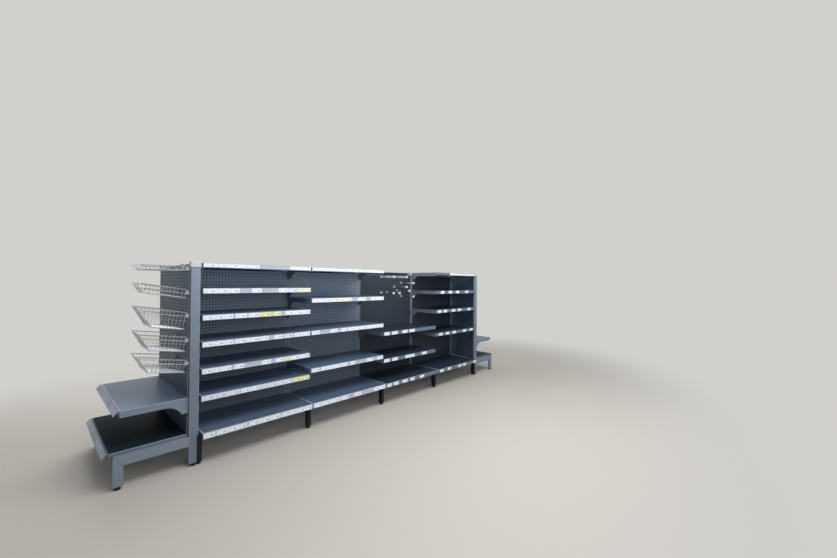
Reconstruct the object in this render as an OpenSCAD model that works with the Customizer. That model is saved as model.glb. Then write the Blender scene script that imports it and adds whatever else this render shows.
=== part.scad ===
// Double-sided run of shop shelving with a single-sided unit across each end.
// Millimetres. The origin is on the floor under the middle of the run, X runs along
// it, the front side faces -Y, and the near end faces -X.

/* [Run] */
// Pitch of the bays, between the centres of two uprights
bay_w = 900; // [700:50:1200]
// Height of the uprights' tops above the floor
post_top = 1456; // [1440:1:1600]
// Depth of an upper shelf with its ticket strip
shelf_d = 450; // [350:10:480]
// Depth of a base shelf with its ticket strip
base_d = 504; // [480:4:600]
// Height of the base shelves' tops above the floor
base_top = 240; // [230:5:300]
// How far the legs' fronts stand back from the base shelves' fronts
leg_setback = 57; // [10:1:90]

/* [End units] */
// Width across the two posts of an end unit
end_w = 930; // [800:10:960]
// Depth of the shelf on an end unit, up to its ticket strip
end_shelf_d = 390; // [300:2:420]
// Depth of the base shelf on an end unit, up to its ticket strip
end_base_d = 446; // [400:2:500]
// Height of the shelf's top on an end unit
end_shelf_top = 500; // [400:50:600]
// How far the legs' fronts stand back from the base shelf's front on an end unit
end_leg_setback = 23; // [4:1:60]
// Lean of the ticket strips on the end units, outwards from upright
end_strip_lean = 43; // [0:1:50]
// Gap between a shelf front and the top of its ticket strip on the end units
end_strip_gap = 5; // [2:0.5:8]
// How far the panel stands in front of the posts on an end unit
end_panel_proud = 6; // [0:0.5:8]

/* [Posts and legs] */
// Wide side of a post
post_d = 60; // [50:5:80]
// Narrow side of a post
post_w = 30; // [25:1:40]
// Steel thickness of a post
post_t = 2; // [1.5:0.5:3]
// Height of a levelling foot
foot_h = 20; // [15:1:30]
// Height of the plastic cap over a post
cap_h = 40; // [30:1:50]
// Height of the arm of a base leg
arm_h = 70; // [50:5:80]
// Depth of the front part of a base leg
leg_d = 55; // [40:5:70]

/* [Shelves] */
// Thickness of the shelf steel
sheet = 1.2; // [1:0.1:2]
// Height of a shelf bracket at the shelf's front
flange_h = 45; // [40:1:50]
// Height of a shelf bracket at the post
root_h = 110; // [90:1:120]
// Distance from the post to where a bracket is down to its front height
throat_x = 143; // [120:1:200]
// Thickness of a shelf bracket
bracket_t = 2.5; // [2:0.5:4]
// Height of a ticket strip
strip_h = 40; // [30:1:45]
// Depth of a ticket strip, with its two lips
strip_t = 4; // [3:0.5:6]

/* [Wire baskets] */
// Depth of a basket at its rim, from the panel to its front
basket_d = 300; // [200:5:320]
// Length of a basket along the panel
basket_w = 300; // [240:10:440]
// Upward lean of the lower baskets towards their fronts
basket_lean = 9.5; // [0:0.5:10]
// Outward slope of a basket's front from its own floor's upright
basket_slope = 36; // [0:1:40]
// Thickness of a rim wire
rim_t = 6; // [4:0.5:8]
// Thickness of a mesh wire
wire_t = 4; // [3:0.5:6]
// Widest spacing of the mesh wires
wire_pitch = 50; // [40:5:125]

/* [Hidden] */
// Heights of the shelf tops in each bay, from the lowest upper shelf to the top one
front_levels = [
    [500, 700, 900, 1100, 1300, 1490],
    [550, 900, 1200, 1490],
    [500, 800],
    [700, 1000, 1250, 1490]
];
rear_levels = [front_levels[0], front_levels[1], front_levels[1], front_levels[3]];
// Baskets as [height of the floor at the panel, height of the sides, lean]
baskets = [[1429, 35, 0], [1222, 68, basket_lean], [992, 130, basket_lean],
           [832, 110, basket_lean], [680, 95, basket_lean]];
// Distance from the middle of the panel to the outer ends of the baskets
basket_end = 440;
// Peg hooks as [distance from the third bay's first upright, height]
hooks = [[350, 1425], [575, 1425], [700, 1350], [575, 1300],
         [350, 1225], [450, 1225], [625, 1250], [700, 1175]];

bays = len(front_levels);
run_x0 = -bays * bay_w / 2;
half_post = post_d / 2;
// Clear distance from an upright's centre to the outside of a bracket
side_gap = 5.5;
// Distance from the end of the run to the back of an end unit's posts
end_gap = 8;
end_back_x = -run_x0 + end_gap;
end_face_x = end_back_x + post_d;
end_post_y = end_w / 2 - post_w / 2;
// How far a panel reaches below the base shelf, and how far it ends under the post's top
panel_below = 16;
panel_short = 6;
panel_bottom = base_top - panel_below;
panel_top = post_top - panel_short;
panel_t = 12;
panel_sheet = 1;
// Play between a panel and the two posts that hold it
panel_play = 1;
lip_h = 38;
skirt_h = 20;
// Top shelves are those above this height, and they have a lower strip
top_shelf_from = 1400;
top_strip_h = 32;
// How far a base shelf's strip sits under the shelf's top
base_strip_drop = 2;
// Gap between a basket's back edge and the panel
basket_gap = 2;
// Plate that hooks a basket on the post: its depth, thickness and height, and how far it
// sits under the basket's rim
hook_d = 24;
hook_t = 4.5;
hook_h = 25;
hook_drop = 10;
// Flange of an end unit's ticket strip: its top and bottom below the strip's top
flange_z = [5, 8];
// How far the caps reach over the posts, on the run and on the end units
cap_over = 2;
end_cap_over = 6;
slot_w = 4.5;
slot_h = 28;
slot_pitch = 50;
// Height of the lowest slot, and the steel left above the highest one
slot_first = base_top + 20;
slot_margin = 8;
slot_x = side_gap + bracket_t / 2;
pad_r = 18;
stem_r = 8;
post_floor = 3;
peg_len = 230;
peg_r = 2.5;
peg_plate = [40, 3, 26];
peg_ticket = [40, 2, 26];
rail_h = 20;
// How far a cut runs past the faces that it opens
cut = 1;
$fn = 24;

function upright_x(i) = run_x0 + (i - 1) * bay_w;
function strip_height(level) = level > top_shelf_from ? top_strip_h : strip_h;

// Places the children on the front side and, turned round, on the rear side of the run
module both_sides() {
    children();
    rotate([0, 0, 180]) children();
}

// Places the children, drawn for the front side, at a bay of the front or rear side
module at_bay(bay, rear) {
    x = upright_x(bay) + bay_w / 2;
    translate([x, 0, 0]) rotate([0, 0, rear ? 180 : 0]) translate([0, -half_post, 0]) children();
}

// Places the children, drawn facing -Y with the panel at y = 0, on an end unit
module at_end(far) {
    rotate([0, 0, far ? 180 : 0]) translate([-end_face_x, 0, 0]) rotate([0, 0, -90]) children();
}

// A box from its low corner to its high corner
module block(low, high) {
    translate(low) cube(high - low);
}

// Square tube of steel standing on the levelling foot, closed at the bottom
module post_tube(x, y) {
    difference() {
        block([-x / 2, -y / 2, foot_h], [x / 2, y / 2, post_top]);
        block([-x / 2 + post_t, -y / 2 + post_t, foot_h + post_floor],
              [x / 2 - post_t, y / 2 - post_t, post_top + cut]);
    }
}

// Two rows of slots for the bracket hooks, cut along Y from y0 to y1
module slot_rows(y0, y1) {
    for (z = [slot_first : slot_pitch : post_top - slot_h - slot_margin], s = [-1, 1])
        block([s * slot_x - slot_w / 2, y0, z], [s * slot_x + slot_w / 2, y1, z + slot_h]);
}

module upright(i) {
    color("slategray") translate([upright_x(i), 0, 0]) difference() {
        post_tube(post_w, post_d);
        slot_rows(-half_post - cut, half_post + cut);
    }
}

// L-shaped leg in front of a post's face at y = 0: an arm, and its foot at the front
module base_leg(depth) {
    translate([post_w / 2, 0, 0]) rotate([90, 0, -90]) linear_extrude(post_w) polygon([
        [0, base_top - skirt_h], [0, base_top - skirt_h - arm_h],
        [depth - leg_d, base_top - skirt_h - arm_h], [depth - leg_d, foot_h],
        [depth, foot_h], [depth, base_top - skirt_h]
    ]);
}

module base_legs(i) {
    color("black") translate([upright_x(i), 0, 0]) both_sides()
        translate([0, -half_post, 0]) base_leg(base_d - strip_t - leg_setback);
}

// Perforated back panel: a sheet with folded edges, its face at y = 0 and its width along X
module back_panel(width) {
    color("darkslategray") difference() {
        block([-width / 2, 0, panel_bottom], [width / 2, panel_t, panel_top]);
        block([-width / 2 + panel_sheet, panel_sheet, panel_bottom + panel_sheet],
              [width / 2 - panel_sheet, panel_t + cut, panel_top - panel_sheet]);
    }
}

module back_panels(bay) {
    for (rear = [false, true]) at_bay(bay, rear) back_panel(bay_w - post_w - panel_play);
}

// Pressed shelf tray: a flat top with a deep front lip and shallow sides and back
module shelf_tray(width, depth, top) {
    color("darkslategray") difference() {
        block([-width / 2, -depth, top - lip_h], [width / 2, 0, top]);
        block([-width / 2 + sheet, -depth + sheet, top - lip_h - cut],
              [width / 2 - sheet, -sheet, top - sheet]);
        block([-width / 2 - cut, -depth + sheet, top - lip_h - cut],
              [width / 2 + cut, cut, top - skirt_h]);
    }
}

module base_shelves(bay) {
    for (rear = [false, true]) at_bay(bay, rear)
        shelf_tray(bay_w - 2 * side_gap, base_d - strip_t, base_top);
}

module shelves(bay) {
    for (side = [[false, front_levels], [true, rear_levels]], level = side[1][bay - 1])
        at_bay(bay, side[0]) shelf_tray(bay_w - 2 * (side_gap + bracket_t), shelf_d - strip_t, level);
}

// Side of a bracket, drawn with its root at x = 0 and its top at y = 0
module bracket_outline(depth) {
    translate([0, -flange_h]) square([depth, flange_h]);
    difference() {
        translate([0, -root_h]) square([throat_x, root_h]);
        translate([throat_x, -flange_h - root_h]) circle(root_h, $fn = 96);
    }
}

// The two brackets under the ends of a shelf
module bracket_pair(width, depth, top) {
    color("slategray") for (s = [-1, 1])
        translate([s * (width - bracket_t) / 2 + bracket_t / 2, 0, top])
            rotate([90, 0, -90]) linear_extrude(bracket_t) bracket_outline(depth);
}

module brackets(rear) {
    levels = rear ? rear_levels : front_levels;
    for (bay = [1 : bays], level = levels[bay - 1])
        at_bay(bay, rear) bracket_pair(bay_w - 2 * side_gap, shelf_d - strip_t, level);
}

// Ticket strip: a plastic channel whose two lips hold the tickets, its top at z = 0
module ticket_strip(width, height) {
    back_t = 1.6;
    lip = 2.5;
    color("white") translate([width / 2, 0, 0]) rotate([90, 0, -90]) linear_extrude(width)
        polygon([
            [0, 0], [strip_t, 0], [strip_t, -lip], [back_t, -lip], [back_t, lip - height],
            [strip_t, lip - height], [strip_t, -height], [0, -height]
        ]);
}

module ticket_strips(rear) {
    levels = rear ? rear_levels : front_levels;
    width = bay_w - 2 * side_gap;
    for (bay = [1 : bays]) at_bay(bay, rear) {
        translate([0, strip_t - base_d, base_top - base_strip_drop]) ticket_strip(width, strip_h);
        for (level = levels[bay - 1])
            translate([0, strip_t - shelf_d, level]) ticket_strip(width, strip_height(level));
    }
}

// Channel across the top between two uprights, behind both panels
module top_rails() {
    color("slategray") for (bay = [1 : bays]) translate([upright_x(bay) + bay_w / 2, 0, 0]) {
        width = bay_w - post_w;
        half = half_post - panel_t;
        difference() {
            block([-width / 2, -half, panel_top - rail_h], [width / 2, half, panel_top]);
            block([-width / 2 - cut, -half + post_t, panel_top - rail_h - cut],
                  [width / 2 + cut, half - post_t, panel_top - post_t]);
        }
    }
}

// Plastic cap on the top of a post, wider than it on each side by over
module post_cap(x, y, over) {
    color("whitesmoke") block([-x / 2 - over, -y / 2 - over, post_top],
                              [x / 2 + over, y / 2 + over, post_top + cap_h]);
}

module post_caps() {
    for (i = [1 : bays + 1]) translate([upright_x(i), 0, 0]) post_cap(post_w, post_d, cap_over);
    for (far = [false, true], s = [-1, 1])
        at_end(far) translate([s * end_post_y, half_post, 0]) post_cap(post_w, post_d, end_cap_over);
}

// Levelling foot: a round pad and its stem up to the post or leg
module levelling_foot() {
    pad_h = 0.6 * foot_h;
    color("black") {
        cylinder(r = pad_r, h = pad_h);
        cylinder(r = stem_r, h = foot_h);
    }
}

module levelling_feet() {
    leg_y = base_d - strip_t - leg_setback - leg_d / 2 + half_post;
    for (i = [1 : bays + 1], y = [-leg_y, 0, leg_y]) translate([upright_x(i), y, 0]) levelling_foot();
    for (far = [false, true], s = [-1, 1]) at_end(far) {
        translate([s * end_post_y, half_post, 0]) levelling_foot();
        translate([s * end_post_y, leg_d / 2 - end_base_d + end_leg_setback, 0]) levelling_foot();
    }
}

// Peg hook in the perforations: a plate, two wires, one over the other, and a ticket
// plate at their tips
module peg_hook() {
    color("silver") {
        block([-peg_plate.x / 2, -peg_plate.y, -peg_plate.z / 2],
              [peg_plate.x / 2, 0, peg_plate.z / 2]);
        for (s = [-1, 1])
            translate([0, 0, s * peg_plate.z / 4]) rotate([90, 0, 0]) cylinder(r = peg_r, h = peg_len);
        block([-peg_ticket.x / 2, -peg_len - peg_ticket.y, -peg_ticket.z / 2],
              [peg_ticket.x / 2, -peg_len, peg_ticket.z / 2]);
    }
}

module peg_hooks() {
    for (h = hooks) translate([upright_x(3) + h[0], -half_post, h[1]]) peg_hook();
}

// The two slotted posts of an end unit, behind the panel's plane
module end_posts(far) {
    color("slategray") at_end(far) for (s = [-1, 1])
        translate([s * end_post_y, half_post, 0]) difference() {
            post_tube(post_w, post_d);
            slot_rows(-half_post - cut, -half_post + post_t + cut);
        }
}

module end_base_legs(far) {
    color("slategray") at_end(far) for (s = [-1, 1])
        translate([s * end_post_y, 0, 0]) base_leg(end_base_d - end_leg_setback);
}

module end_panel(far) {
    at_end(far) translate([0, -end_panel_proud, 0]) back_panel(end_w - 2 * post_w - panel_play);
}

// Shelf tray of an end unit, in front of the panel, up to depth in front of the posts
module end_tray(far, width, depth, top) {
    at_end(far) translate([0, -end_panel_proud, 0]) shelf_tray(width, depth - end_panel_proud, top);
}

module end_base_shelf(far) {
    end_tray(far, 2 * (end_post_y - side_gap), end_base_d, base_top);
}

module end_shelf(far) {
    end_tray(far, 2 * (end_post_y - side_gap - bracket_t), end_shelf_d, end_shelf_top);
}

module end_brackets() {
    for (far = [false, true]) at_end(far)
        bracket_pair(2 * (end_post_y - side_gap), end_shelf_d, end_shelf_top);
}

// Ticket strips of the end units: each leans outwards, and a flange behind it is stuck to the
// shelf front
module end_ticket_strips() {
    width = 2 * (end_post_y - side_gap);
    reach = end_strip_gap + flange_z[1] * tan(end_strip_lean);
    for (far = [false, true], place = [[end_base_d, base_top], [end_shelf_d, end_shelf_top]])
        at_end(far) translate([0, -place[0], place[1]]) {
            translate([0, -end_strip_gap, 0]) rotate([-end_strip_lean, 0, 0])
                ticket_strip(width, strip_h);
            color("white") block([-width / 2, -reach, -flange_z[1]], [width / 2, 0, -flange_z[0]]);
        }
}

// Places the children at each wire basket, with the panel at y = 0
module at_baskets() {
    for (far = [false, true], b = baskets) {
        $basket_h = b[1];
        $floor_d = basket_d - b[1] * tan(basket_slope);
        $lean = b[2];
        at_end(far) translate([basket_end - basket_w / 2, -end_panel_proud, b[0]]) children();
    }
}

// Leans the children upwards to the front, so that their back edges just clear the panel
module leaning() {
    rotate([-$lean, 0, 0]) translate([0, -$basket_h * tan($lean), 0]) children();
}

// A row of bars from one corner to the other, n of them spread along X
module bar_row(x0, x1, n, low, high, t) {
    for (i = [0 : n - 1]) {
        x = x0 + (x1 - x0) * i / (n - 1);
        block([x - t / 2, low.x, low.y], [x + t / 2, high.x, high.y]);
    }
}

// Floor of a basket: two long bars with cross wires over them
module basket_floors() {
    inner = basket_w / 2 - rim_t;
    n = floor(2 * inner / wire_pitch) + 1;
    color("silver") at_baskets() leaning() {
        for (y = [-rim_t - basket_gap, rim_t - $floor_d])
            block([-inner, y, 0], [inner, y + rim_t, rim_t]);
        bar_row(wire_t / 2 - inner, inner - wire_t / 2, n,
                [rim_t - $floor_d, 0], [-basket_gap, wire_t], wire_t);
    }
}

// Sloping front of a basket: two rims with wires between them
module basket_fronts() {
    half = basket_w / 2;
    n = floor(basket_w / wire_pitch) + 1;
    color("silver") at_baskets() leaning() {
        slant = ($basket_h - rim_t * sin(basket_slope)) / cos(basket_slope);
        foot_y = rim_t - rim_t * cos(basket_slope) - $floor_d;
        translate([0, foot_y, 0]) rotate([basket_slope, 0, 0]) {
            for (z = [0, slant - rim_t])
                block([-half, 0, z], [half, rim_t, z + rim_t]);
            bar_row(wire_t / 2 - half, half - wire_t / 2, n, [0, 0], [wire_t, slant], wire_t);
        }
    }
}

// Ends of a basket: two rims with upright wires, welded to a plate. One plate hooks on the
// post, the other one bears on the panel
module basket_ends() {
    half = basket_w / 2;
    y1 = -basket_gap;
    color("silver") at_baskets() for (s = [-1, 1]) {
        x0 = s > 0 ? half - rim_t : -half;
        leaning() {
            low_y = rim_t - $floor_d;
            high_y = 2 * rim_t - basket_d;
            block([x0, low_y, 0], [x0 + rim_t, y1, rim_t]);
            block([x0, high_y, $basket_h - rim_t], [x0 + rim_t, y1, $basket_h]);
            spaces = ceil((y1 - low_y) / wire_pitch);
            for (i = [0 : spaces]) {
                y = low_y + (y1 - low_y - wire_t) * i / spaces;
                block([x0, y, 0], [x0 + rim_t, y + wire_t, $basket_h]);
            }
        }
        plate_x = s > 0 ? half - hook_t : -half;
        plate_y = s > 0 ? end_panel_proud : 0;
        plate_z = $basket_h - hook_drop;
        block([plate_x, -hook_d, plate_z - hook_h], [plate_x + hook_t, plate_y, plate_z]);
    }
}

upright(1);  // upright_1
upright(2);  // upright_2
upright(3);  // upright_3
upright(4);  // upright_4
upright(5);  // upright_5
base_legs(1);  // base_legs_1
base_legs(2);  // base_legs_2
base_legs(3);  // base_legs_3
base_legs(4);  // base_legs_4
base_legs(5);  // base_legs_5
back_panels(1);  // back_panels_bay_1
back_panels(2);  // back_panels_bay_2
back_panels(3);  // back_panels_bay_3
back_panels(4);  // back_panels_bay_4
base_shelves(1);  // base_shelves_bay_1
base_shelves(2);  // base_shelves_bay_2
base_shelves(3);  // base_shelves_bay_3
base_shelves(4);  // base_shelves_bay_4
shelves(1);  // shelves_bay_1
shelves(2);  // shelves_bay_2
shelves(3);  // shelves_bay_3
shelves(4);  // shelves_bay_4
brackets(false);  // front_brackets
brackets(true);  // rear_brackets
ticket_strips(false);  // front_ticket_strips
ticket_strips(true);  // rear_ticket_strips
top_rails();
post_caps();
levelling_feet();
peg_hooks();
end_posts(false);  // near_end_posts
end_posts(true);  // far_end_posts
end_panel(false);  // near_end_panel
end_panel(true);  // far_end_panel
end_base_legs(false);  // near_end_base_legs
end_base_legs(true);  // far_end_base_legs
end_base_shelf(false);  // near_end_base_shelf
end_base_shelf(true);  // far_end_base_shelf
end_shelf(false);  // near_end_shelf
end_shelf(true);  // far_end_shelf
end_brackets();
end_ticket_strips();
basket_floors();
basket_fronts();
basket_ends();
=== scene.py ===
"""Looks of a double-sided run of shop gondola shelving with a shelved end unit, hung with
wire baskets, across each end. Metres. X runs along the run, the front side faces -Y, the
near end faces -X, and the floor is at Z = 0."""

from math import cos, pi, radians, sin, sqrt, tan

import bpy
import numpy as np
from mathutils import Matrix, Vector


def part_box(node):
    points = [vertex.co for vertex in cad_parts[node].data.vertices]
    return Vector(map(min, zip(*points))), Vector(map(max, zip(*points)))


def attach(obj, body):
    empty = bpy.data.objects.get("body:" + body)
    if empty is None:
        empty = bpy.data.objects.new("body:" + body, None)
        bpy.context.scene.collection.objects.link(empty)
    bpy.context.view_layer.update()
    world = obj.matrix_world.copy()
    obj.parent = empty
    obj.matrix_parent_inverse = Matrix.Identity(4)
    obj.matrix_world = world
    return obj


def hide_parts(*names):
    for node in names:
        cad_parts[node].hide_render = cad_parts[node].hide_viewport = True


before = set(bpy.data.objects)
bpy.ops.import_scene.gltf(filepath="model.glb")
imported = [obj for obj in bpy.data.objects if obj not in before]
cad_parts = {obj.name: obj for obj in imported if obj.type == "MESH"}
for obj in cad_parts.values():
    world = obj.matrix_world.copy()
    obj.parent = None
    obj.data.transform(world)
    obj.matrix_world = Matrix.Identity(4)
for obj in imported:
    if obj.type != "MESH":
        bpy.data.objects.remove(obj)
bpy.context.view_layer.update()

# Camera. Its place, angle and lens come from the shelf edges, posts and legs in the photograph,
# where the level edges run to their vanishing points.
camera_spot = Vector((-2.6553, -3.4463, 1.3550))
camera_yaw = radians(47.285)
camera_pitch = radians(0.593)
camera_roll = radians(0.496)
focal_px = 356.67
picture_px = 837
camera_data = bpy.data.cameras.new("photo_angle")
camera_data.sensor_width = 36
camera_data.lens = focal_px / picture_px * camera_data.sensor_width
camera = bpy.data.objects.new("photo_angle", camera_data)
camera.matrix_world = (Matrix.Translation(camera_spot) @ Matrix.Rotation(-camera_yaw, 4, "Z")
                       @ Matrix.Rotation(pi / 2 + camera_pitch, 4, "X")
                       @ Matrix.Rotation(camera_roll, 4, "Z"))
bpy.context.scene.collection.objects.link(camera)
bpy.context.scene.camera = camera
bpy.context.scene.view_settings.view_transform = "Standard"


# Studio. A pale matt floor that fades into the background further out, soft boxes high over the
# four sides, weaker ones at eye height that reach in under the shelves and leave no reflection,
# and a dim pale surround that fills the shade.
floor_reach = 40
floor_fade = (1.7, 4.0)
fade_oval = (0.68, 1.0, 1.0)
background = "d2d0cc"
surround_strength = 0.155


def linear(code):
    """Linear colour of an sRGB hex code: each channel by the sRGB curve, opaque."""
    channel = np.array([int(code[n:n + 2], 16) for n in (0, 2, 4)]) / 255
    low, high = channel / 12.92, ((channel + 0.055) / 1.055) ** 2.4
    return (*np.where(channel <= 0.04045, low, high).tolist(), 1.0)


def in_use(sockets, name=None):
    """The first of a node's sockets that is in use and, if a name is given, has it."""
    return next(socket for socket in sockets if socket.enabled and name in (None, socket.name))


def feed(node, sockets):
    """Fills a node's sockets, given by name or number. A value is a number or a colour, or a
    node, or a node and its output's name."""
    for name, value in sockets.items():
        socket = node.inputs[name] if isinstance(name, int) else in_use(node.inputs, name)
        source, output = value if isinstance(value, tuple) and len(value) == 2 else (value, None)
        if isinstance(source, bpy.types.Node):
            node.id_data.links.new(in_use(source.outputs, output), socket)
        else:
            socket.default_value = value


def add_node(tree, kind, sockets=None, **settings):
    """Adds a shader node of that kind, with its settings, and feeds its sockets."""
    made = tree.nodes.new("ShaderNode" + kind)
    for name, value in settings.items():
        setattr(made, name, value)
    feed(made, sockets or {})
    return made


def new_finish(name, colour, **sockets):
    """A material with one shader: the material, its node tree and the shader. Sockets are set by
    name, with _ for a space."""
    finish = bpy.data.materials.new(name)
    finish.use_nodes = True
    shader = finish.node_tree.nodes["Principled BSDF"]
    feed(shader, {"Base Color": linear(colour)})
    feed(shader, {socket.replace("_", " "): value for socket, value in sockets.items()})
    return finish, finish.node_tree, shader


def seen_only(tree):
    """A node that gives 1 to rays that look at a surface, and 0 to those that carry its light."""
    ray = add_node(tree, "LightPath")
    seen = add_node(tree, "Math", {0: (ray, "Is Camera Ray"), 1: (ray, "Is Glossy Ray")},
                    operation="MAXIMUM")
    return add_node(tree, "Math", {0: seen, 1: (ray, "Is Transmission Ray")}, operation="MAXIMUM")


world = bpy.data.worlds.new("pale_surround")
world.use_nodes = True
sky = world.node_tree
sky.nodes.clear()
strength = add_node(sky, "MapRange", {"Value": seen_only(sky), "To Min": surround_strength,
                                      "To Max": 1.0})
surround = add_node(sky, "Background", {"Color": linear(background), "Strength": strength})
add_node(sky, "OutputWorld", {"Surface": surround})
bpy.context.scene.world = world

floor_mesh = bpy.data.meshes.new("floor")
floor_mesh.from_pydata([(x, y, 0) for x, y in ((-1, -1), (1, -1), (1, 1), (-1, 1))], [], [(0, 1, 2, 3)])
floor_mesh.transform(Matrix.Scale(floor_reach, 4))
floor = bpy.data.objects.new("floor", floor_mesh)
bpy.context.scene.collection.objects.link(floor)

paint, tree, matt = new_finish("matt_floor", "cac6bf", Roughness=0.7)
place = add_node(tree, "TexCoord"), "Object"
oval = add_node(tree, "Mapping", {"Vector": place, "Scale": fade_oval})
distance = add_node(tree, "VectorMath", {0: oval}, operation="LENGTH")
fade = add_node(tree, "MapRange", {"Value": distance, "From Min": floor_fade[0],
                                   "From Max": floor_fade[1]}, interpolation_type="SMOOTHSTEP")
faded = add_node(tree, "Math", {0: fade, 1: seen_only(tree)}, operation="MULTIPLY")
glow = add_node(tree, "Emission", {"Color": linear(background)})
blend = add_node(tree, "MixShader", {0: faded, 1: matt, 2: glow})
feed(tree.nodes["Material Output"], {"Surface": blend})
floor_mesh.materials.append(paint)


def hang_softbox(name, spot, aim, size, power, mirrored=True):
    """A rectangular lamp at a spot, turned to face the point aim, out of the camera's sight.
    mirrored says whether glossy surfaces reflect it."""
    lamp = bpy.data.lights.new(name, "AREA")
    lamp.shape = "RECTANGLE"
    lamp.size, lamp.size_y = size
    lamp.energy = power
    holder = bpy.data.objects.new(name, lamp)
    holder.location = spot
    holder.rotation_euler = (Vector(aim) - Vector(spot)).to_track_quat("-Z", "Y").to_euler()
    holder.visible_camera = False
    holder.visible_glossy = mirrored
    bpy.context.scene.collection.objects.link(holder)


overhead_z = 2.55
eye_z = 1.5
long_side_watts, fill_watts, end_watts = 66, 55, 8
for side in (-1, 1):
    hang_softbox(f"long_side_softbox_{side}", (0, side * 1.75, overhead_z), (0, side, 0.2),
                 (5.0, 1.2), long_side_watts)
    hang_softbox(f"fill_softbox_{side}", (0, side * 3.6, eye_z), (0, side * 0.5, 0.5), (5.0, 1.5),
                 fill_watts, mirrored=False)
    hang_softbox(f"end_softbox_{side}", (side * 3.5, 0, overhead_z), (side * 3.0, 0, 0), (1.0, 2.4),
                 end_watts)


# Levelling feet. Each post and leg stands on a moulded black nylon pad. It turns on a
# threaded stem, and a nut locks it against the steel above.
leg_depth = 0.055
pad_sides = 32
pad_radii = np.array([15.5, 17.4, 18.0, 18.0, 17.3, 14.8, 9.5, 7.8, 7.8, 7.0]) / 1000
pad_heights = np.array([0.0, 0.9, 2.6, 8.0, 10.1, 11.5, 12.0, 12.0, 18.6, 20.0]) / 1000


def middle(name):
    """Centre of a CAD node's box."""
    low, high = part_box(name)
    return (low + high) / 2


def on_circle(angle):
    """Points of a circle of radius 1 at angles, as their cosine and sine."""
    return np.stack([np.cos(angle), np.sin(angle)], axis=-1)


def stacked(core, outward, offsets, heights):
    """Rows of an outline: in each row the core is moved outwards by its offset, to its height."""
    flat = core[None] + outward[None] * np.asarray(offsets)[:, None, None]
    rise = np.broadcast_to(np.asarray(heights).T.reshape(len(flat), -1, 1), (*flat.shape[:2], 1))
    return np.concatenate([flat, rise], axis=-1)


def surface(grid, around=False, keep=None, bottom=False, top=False):
    """Quads over a grid of points whose rows go up and whose columns go to the right, seen from
    outside. around joins the last column to the first, keep leaves cells out where it is false,
    and bottom and top close the first and last rows with one flat face each."""
    rows, columns = grid.shape[:2]
    number = np.arange(rows * columns).reshape(rows, columns)
    loop = np.hstack([number, number[:, :1]]) if around else number
    quads = np.stack([loop[:-1, :-1], loop[:-1, 1:], loop[1:, 1:], loop[1:, :-1]], axis=-1)
    faces = [quads[keep] if keep is not None else quads.reshape(-1, 4)]
    if bottom:
        faces.append(number[:1, ::-1])
    if top:
        faces.append(number[-1:])
    return grid.reshape(-1, 3), faces


def solid(grid):
    """Surface round a closed outline, with both its ends closed."""
    return surface(grid, around=True, bottom=True, top=True)


def together(shapes):
    """One shape of several: their points one after another, with the faces' numbers moved on."""
    starts = np.cumsum([0] + [len(points) for points, _ in shapes])
    faces = [face + start for (_, parts), start in zip(shapes, starts) for face in parts]
    return np.concatenate([points for points, _ in shapes]), faces


def repeated(shape, spots):
    """Copies of a shape, one moved by each spot."""
    points, faces = shape
    spots = np.asarray(spots, float).reshape(-1, 3)
    steps = np.arange(len(spots))[:, None, None] * len(points)
    copies = (points[None] + spots[:, None]).reshape(-1, 3)
    return copies, [(face[None] + steps).reshape(-1, face.shape[1]) for face in faces]


def mark_folds(mesh, sharp):
    """Attribute fold of a mesh: 0 where a point's normal lies along an axis, 1 at 45 degrees to
    two axes, and 0 on sharp edges, so it marks the round folds and corners of square sheet."""
    normals = np.empty(len(mesh.vertices) * 3, np.float32)
    mesh.vertex_normals.foreach_get("vector", normals)
    straightness = np.abs(normals.reshape(-1, 3)).max(axis=1)
    amount = np.clip((1 - straightness) / (1 - sqrt(0.5)), 0, 1)
    ends_of_edge = np.zeros(len(mesh.edges) * 2, np.int32)
    mesh.edges.foreach_get("vertices", ends_of_edge)
    amount[ends_of_edge.reshape(-1, 2)[sharp]] = 0
    mesh.attributes.new("fold", "FLOAT", "POINT").data.foreach_set("value", amount)


def add_piece(name, shape, finish, slot, nodes=(), wall=0.0, edge=0.0):
    """Puts a shape into a mesh that rides on the run in place of its CAD nodes. wall is the
    thickness of its sheet, laid inwards, and edge the width of its slightly broken edges."""
    points, faces = shape
    mesh = bpy.data.meshes.new(name)
    mesh.from_pydata(points.tolist(), [], [corners for face in faces for corners in face.tolist()])
    mesh.materials.append(finish)
    mesh.shade_smooth()
    piece = bpy.data.objects.new(name, mesh)
    bpy.context.scene.collection.objects.link(piece)
    if wall:
        thicken = piece.modifiers.new("sheet", "SOLIDIFY")
        thicken.thickness = wall
        thicken.offset = -1
        thicken.use_even_offset = True
    if edge:
        ease = piece.modifiers.new("broken_edge", "BEVEL")
        ease.width = edge
        ease.segments = 2
        ease.limit_method = "ANGLE"
        ease.harden_normals = True
    else:
        mesh.set_sharp_from_angle(angle=radians(35))
        edge_of_corner = np.zeros(len(mesh.loops), np.int32)
        mesh.loops.foreach_get("edge_index", edge_of_corner)
        sharp = np.zeros(len(mesh.edges), bool)
        mesh.edges.foreach_get("use_edge_sharp", sharp)
        mark_folds(mesh, sharp)
        rim = np.bincount(edge_of_corner, minlength=len(sharp)) == 1
        mesh.edges.foreach_set("use_edge_sharp", sharp | rim)
    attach(piece, "root")
    if nodes:
        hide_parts(*nodes)
    return piece


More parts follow.
